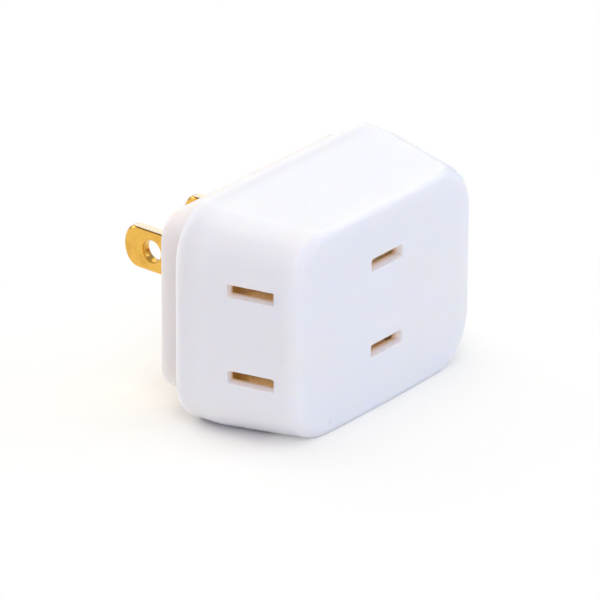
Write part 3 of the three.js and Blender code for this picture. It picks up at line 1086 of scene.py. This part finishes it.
@dataclass
class RearCover:
    """The inset block at the wall side, with its flange and the two blade passages."""

    layout: Layout
    flange_inset: float = 1.3
    flange_thickness: float = 1.6
    inset: float = 2.9
    edge_round: float = 0.6
    passage_width: float = 2.1
    passage_height: float = 6.9
    passage_depth: float = 3.0
    corner_steps: int = 12
    edge_steps: int = 4
    smooth_below: float = math.radians(32)

    def build(self) -> bpy.types.Object:
        """Builds the cover.

        Returns:
            The finished piece.
        """
        sizes = self.layout
        half_x = sizes.body_width / 2 - self.flange_inset
        half_z = sizes.body_height / 2 - self.flange_inset
        start = sizes.body_depth - self.flange_thickness
        form = Form().block((-half_x, start, -half_z), (half_x, sizes.body_depth, half_z))
        corner = sizes.corner_radius - self.flange_inset
        form.round_edges(form.edges(lengthwise), corner, self.corner_steps)
        form.push(form.faces(faces_back), sizes.cover_depth, self.inset - self.flange_inset)
        low = sizes.blade_face - ON_PLANE
        rim = form.edges(lambda e: min(vert.co.y for vert in e.verts) > low)
        form.round_edges(rim, self.edge_round, self.edge_steps)
        self._open_passages(form)
        form.place(sizes.rest)
        return form.piece("white_rear_cover", self.smooth_below)

    def _open_passages(self, form: Form) -> None:
        """Sinks a blind passage round each blade.

        Args:
            form: The cover.
        """
        sizes = self.layout
        half_width, half_height = self.passage_width / 2, self.passage_height / 2

        def on_face(face: bmesh.types.BMFace) -> bool:
            """Whether a face lies in the plane that the blades come out of."""
            return faces_back(face) and face.calc_center_median().y > sizes.blade_face - ON_PLANE

        edges_x = [
            side * sizes.pin_pitch / 2 + end * half_width for side in (-1, 1) for end in (-1, 1)
        ]
        form.slice((1, 0, 0), [(x, 0, 0) for x in edges_x], on_face)
        form.slice((0, 0, 1), [(0, 0, side * half_height) for side in (-1, 1)], on_face)
        for side in Side:
            middle = side.value * sizes.pin_pitch / 2
            window = form.faces(
                lambda f: on_face(f)
                and abs(f.calc_center_median().x - middle) < half_width
                and abs(f.calc_center_median().z) < half_height
            )
            form.push(window, -self.passage_depth)


@dataclass
class PlugBlade:
    """One flat brass blade with a rounded tip, eased edges and a hole."""

    layout: Layout
    side: Side
    width: float = 6.3
    thickness: float = 1.5
    length: float = 17.0
    tip_length: float = 2.4
    foot_depth: float = 7.4
    hole_diameter: float = 3.2
    hole_from_face: float = 12.0
    edge_ease: float = 0.3
    edge_steps: int = 1
    hole_ease: float = 0.18
    hole_steps: int = 2
    hole_margin: float = 0.05
    round_steps: int = 40
    smooth_below: float = math.radians(35)

    def build(self) -> bpy.types.Object:
        """Builds the blade.

        Returns:
            The finished piece.
        """
        sizes = self.layout
        form = Form()
        outline = self._outline(form)
        hole = self._hole(form)
        bmesh.ops.triangle_fill(
            form.mesh, edges=[*outline, *hole], use_beauty=True, use_dissolve=False,
            normal=(1, 0, 0),
        )
        made = bmesh.ops.extrude_face_region(form.mesh, geom=form.mesh.faces[:])
        verts = [item for item in made["geom"] if isinstance(item, bmesh.types.BMVert)]
        bmesh.ops.translate(form.mesh, verts=verts, vec=(self.thickness, 0, 0))
        bmesh.ops.translate(form.mesh, verts=form.mesh.verts, vec=(-self.thickness / 2, 0, 0))
        bmesh.ops.recalc_face_normals(form.mesh, faces=form.mesh.faces)
        self._ease(form)
        shift = Matrix.Translation((self.side.value * sizes.pin_pitch / 2, 0, 0))
        form.place(sizes.rest @ shift)
        return form.piece(f"brass_blade_{self.side.name.lower()}", self.smooth_below)

    def _outline(self, form: Form) -> list[bmesh.types.BMEdge]:
        """Draws the blade's outline in the plane x = 0.

        Args:
            form: The empty form.

        Returns:
            The outline's edges.
        """
        sizes = self.layout
        shoulder = sizes.blade_face + self.length - self.tip_length
        turn = Matrix.Rotation(math.pi / 2, 4, "Y")
        shape = Matrix.Diagonal((1, self.tip_length, self.width / 2, 1))
        matrix = Matrix.Translation((0, shoulder, 0)) @ shape @ turn
        bmesh.ops.create_circle(
            form.mesh, cap_ends=False, segments=self.round_steps, radius=1.0, matrix=matrix,
        )
        bmesh.ops.bisect_plane(
            form.mesh, geom=[*form.mesh.verts, *form.mesh.edges], dist=TOUCH,
            plane_co=(0, shoulder, 0), plane_no=(0, 1, 0), clear_inner=True,
        )
        ends = [vert for vert in form.mesh.verts if abs(vert.co.y - shoulder) < ON_PLANE]
        made = bmesh.ops.extrude_vert_indiv(form.mesh, verts=ends)
        foot = sizes.blade_face - self.foot_depth
        bmesh.ops.translate(form.mesh, verts=made["verts"], vec=(0, foot - shoulder, 0))
        bmesh.ops.contextual_create(form.mesh, geom=made["verts"])
        return form.mesh.edges[:]

    def _hole(self, form: Form) -> list[bmesh.types.BMEdge]:
        """Draws the round hole in the plane x = 0.

        Args:
            form: The form with the outline.

        Returns:
            The hole's edges.
        """
        before = set(form.mesh.edges)
        middle = self.layout.blade_face + self.hole_from_face
        matrix = Matrix.Translation((0, middle, 0)) @ Matrix.Rotation(math.pi / 2, 4, "Y")
        bmesh.ops.create_circle(
            form.mesh, cap_ends=False, segments=self.round_steps,
            radius=self.hole_diameter / 2, matrix=matrix,
        )
        return [edge for edge in form.mesh.edges if edge not in before]

    def _ease(self, form: Form) -> None:
        """Bevels the rim of the plate and, less, the rim of the hole.

        Args:
            form: The plate.
        """
        middle = Vector((0, self.layout.blade_face + self.hole_from_face, 0))
        reach = self.hole_diameter / 2 + self.hole_margin

        def sharp(edge: bmesh.types.BMEdge) -> bool:
            """Whether an edge lies between a flat side and the rim."""
            flat = [abs(face.normal.x) > FACING for face in edge.link_faces]
            return len(flat) == 2 and flat[0] != flat[1]

        def at_hole(edge: bmesh.types.BMEdge) -> bool:
            """Whether an edge belongs to the hole."""
            return all((Vector((0, v.co.y, v.co.z)) - middle).length < reach for v in edge.verts)

        plate = form.edges(lambda e: sharp(e) and not at_hole(e))
        form.round_edges(plate, self.edge_ease, self.edge_steps)
        hole = form.edges(lambda e: sharp(e) and at_hole(e))
        form.round_edges(hole, self.hole_ease, self.hole_steps)


@dataclass
class Metalwork:
    """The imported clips, bus strips and rivets, which keep their shape and get their finish."""

    layout: Layout

    def dress(self) -> None:
        """Gives each packed metal node its procedural material."""
        side_turn = math.pi / 2 - self.layout.taper
        clip = RolledMetal(
            name="clip_bronze_front", tone=linear(250, 236, 206), stain=linear(228, 196, 150),
            roughness=0.3, line_share=0.2, stain_share=0.7, grain_stretch=(0.05, 1.0, 1.0),
        )
        finishes = {
            "contact_clip_front": clip,
            "contact_clip_left": replace(
                clip, name="clip_bronze_left", grain_turn=(0.0, 0.0, -side_turn),
            ),
            "contact_clip_right": replace(
                clip, name="clip_bronze_right", grain_turn=(0.0, 0.0, side_turn),
            ),
            "bus_strip": RolledMetal(
                name="bus_brass", tone=linear(214, 164, 72), stain=linear(150, 98, 34),
                roughness=0.28, line_share=0.2, stain_share=0.6,
            ),
            "rivet": RolledMetal(
                name="rivet_steel", tone=linear(186, 188, 190), stain=linear(128, 124, 118),
                roughness=0.34, line_share=0.1, grain_stretch=(1.0, 1.0, 1.0),
            ),
        }
        made = {key: finish.make() for key, finish in finishes.items()}
        for name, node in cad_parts.items():
            key = next((key for key in made if key in name and not node.hide_render), None)
            if key is None:
                continue
            for slot in node.material_slots:
                slot.material = made[key]
            LOG.info("dressed %s", name)


# Studio


@dataclass
class Lamp:
    """One soft square lamp that looks at the adapter. Lengths are in metres."""

    name: str
    azimuth: float
    elevation: float
    power: float
    colour: Colour
    size: float = 0.8
    distance: float = 1.2
    aim_height: float = 0.015

    def build(self) -> bpy.types.Object:
        """Builds the lamp.

        Returns:
            The lamp's object.
        """
        data = bpy.data.lights.new(self.name, "AREA")
        data.shape, data.size = "SQUARE", self.size
        data.energy, data.color = self.power, self.colour
        lamp = linked(self.name, data)
        turn, rise = math.radians(self.azimuth), math.radians(self.elevation)
        side, back = math.sin(turn) * math.cos(rise), -math.cos(turn) * math.cos(rise)
        way = Vector((side, back, math.sin(rise)))
        lamp.location = way * self.distance + Vector((0, 0, self.aim_height))
        lamp.rotation_euler = way.to_track_quat("Z", "Y").to_euler()
        return lamp


@dataclass
class Studio:
    """Floor, lamps, world and camera."""

    camera_place: Span3 = (-583.80 * MM, -491.83 * MM, 335.36 * MM)
    camera_aim: Span3 = (0.817 * MM, -3.939 * MM, 11.541 * MM)
    camera_roll: float = -2.401
    lens: float = 364.0
    sensor: float = 36.0
    clip_start: float = 0.01
    clip_end: float = 20.0
    floor_reach: float = 2.5
    world_tone: Colour = (0.80, 0.83, 1.0)
    world_level: float = 0.46
    lamps: list[Lamp] = field(default_factory=lambda: [
        Lamp("softbox_top", 0.0, 88.0, 5.2, (1.0, 0.956, 0.70), size=1.0),
        Lamp("softbox_front_right", 40.0, 25.0, 4.2, (0.60, 0.75, 1.0)),
        Lamp("softbox_camera", -50.0, 40.0, 3.5, (0.89, 0.88, 1.0)),
        Lamp("softbox_left", -95.0, 58.0, 0.75, (1.0, 0.62, 0.35)),
        Lamp("softbox_back", 180.0, 35.0, 4.6, (1.0, 0.99, 0.96)),
        Lamp("softbox_back_right", 130.0, 30.0, 1.7, (1.0, 1.0, 0.82)),
    ])

    def build(self) -> None:
        """Builds everything round the adapter."""
        self._floor()
        self._world()
        for lamp in self.lamps:
            lamp.build()
            LOG.info("lamp %s", lamp.name)
        self._camera()
        bpy.context.scene.view_settings.view_transform = "Standard"

    def _floor(self) -> None:
        """Flat floor under the adapter."""
        mesh = bmesh.new()
        bmesh.ops.create_grid(mesh, x_segments=1, y_segments=1, size=self.floor_reach)
        data = bpy.data.meshes.new("floor")
        mesh.to_mesh(data)
        mesh.free()
        floor = linked("floor", data)
        data.materials.append(StudioFloor().make())

    def _world(self) -> None:
        """Pale surroundings that the camera sees as plain white."""
        world = bpy.data.worlds.new("studio")
        bpy.context.scene.world = world
        world.use_nodes = True
        graph = Graph(world.node_tree)
        fill = graph.add("ShaderNodeBackground", None, {
            "Color": (*self.world_tone, 1.0), "Strength": self.world_level,
        })
        white = graph.add("ShaderNodeBackground", None, {"Color": WHITE, "Strength": 1.0})
        path = graph.add("ShaderNodeLightPath", None, None, "Is Camera Ray")
        mixed = graph.add("ShaderNodeMixShader", None, {0: path, 1: fill, 2: white})
        graph.close("ShaderNodeOutputWorld", mixed)

    def _camera(self) -> None:
        """Camera at the photograph's angle."""
        data = bpy.data.cameras.new("camera")
        data.lens, data.sensor_width = self.lens, self.sensor
        data.clip_start, data.clip_end = self.clip_start, self.clip_end
        camera = linked("camera", data)
        place = Vector(self.camera_place)
        look = (Vector(self.camera_aim) - place).normalized()
        right = look.cross(Vector((0, 0, 1))).normalized()
        upward = right.cross(look)
        roll = math.radians(self.camera_roll)
        right, upward = (
            right * math.cos(roll) + upward * math.sin(roll),
            upward * math.cos(roll) - right * math.sin(roll),
        )
        turn = Matrix((right, upward, -look)).transposed().to_4x4()
        camera.matrix_world = Matrix.Translation(place) @ turn
        bpy.context.scene.camera = camera


@dataclass
class Adapter:
    """The whole adapter: shell, cover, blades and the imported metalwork."""

    layout: Layout = field(default_factory=Layout)

    def build(self) -> None:
        """Builds each piece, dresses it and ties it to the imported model."""
        plastic = MouldedPlastic(layout=self.layout).make()
        cover_plastic = CoverPlastic(layout=self.layout).make()
        brass = BladeBrass(layout=self.layout).make()
        self._settle(HousingShell(self.layout).build(), plastic, Slot.PLASTIC, "housing_shell")
        self._settle(RearCover(self.layout).build(), cover_plastic, Slot.PLASTIC, "rear_cover")
        for side in Side:
            blade = PlugBlade(self.layout, side).build()
            self._settle(blade, brass, Slot.BLADE, f"plug_blade_{side.name.lower()}")
        Metalwork(self.layout).dress()

    @staticmethod
    def _settle(
        piece: bpy.types.Object, material: bpy.types.Material, slot: Slot, node: str,
    ) -> None:
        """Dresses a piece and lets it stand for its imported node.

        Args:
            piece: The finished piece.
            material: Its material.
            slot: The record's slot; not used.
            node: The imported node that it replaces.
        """
        piece.data.materials.append(material)
        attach(piece, BODY)
        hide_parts(node)
        LOG.info("%s: %d faces, stands for %s", piece.name, len(piece.data.polygons), node)


def main() -> None:
    """Builds the adapter and its studio."""
    logging.basicConfig(level=logging.INFO, format="%(message)s")
    Adapter().build()
    Studio().build()


if __name__ == "__main__":
    main()
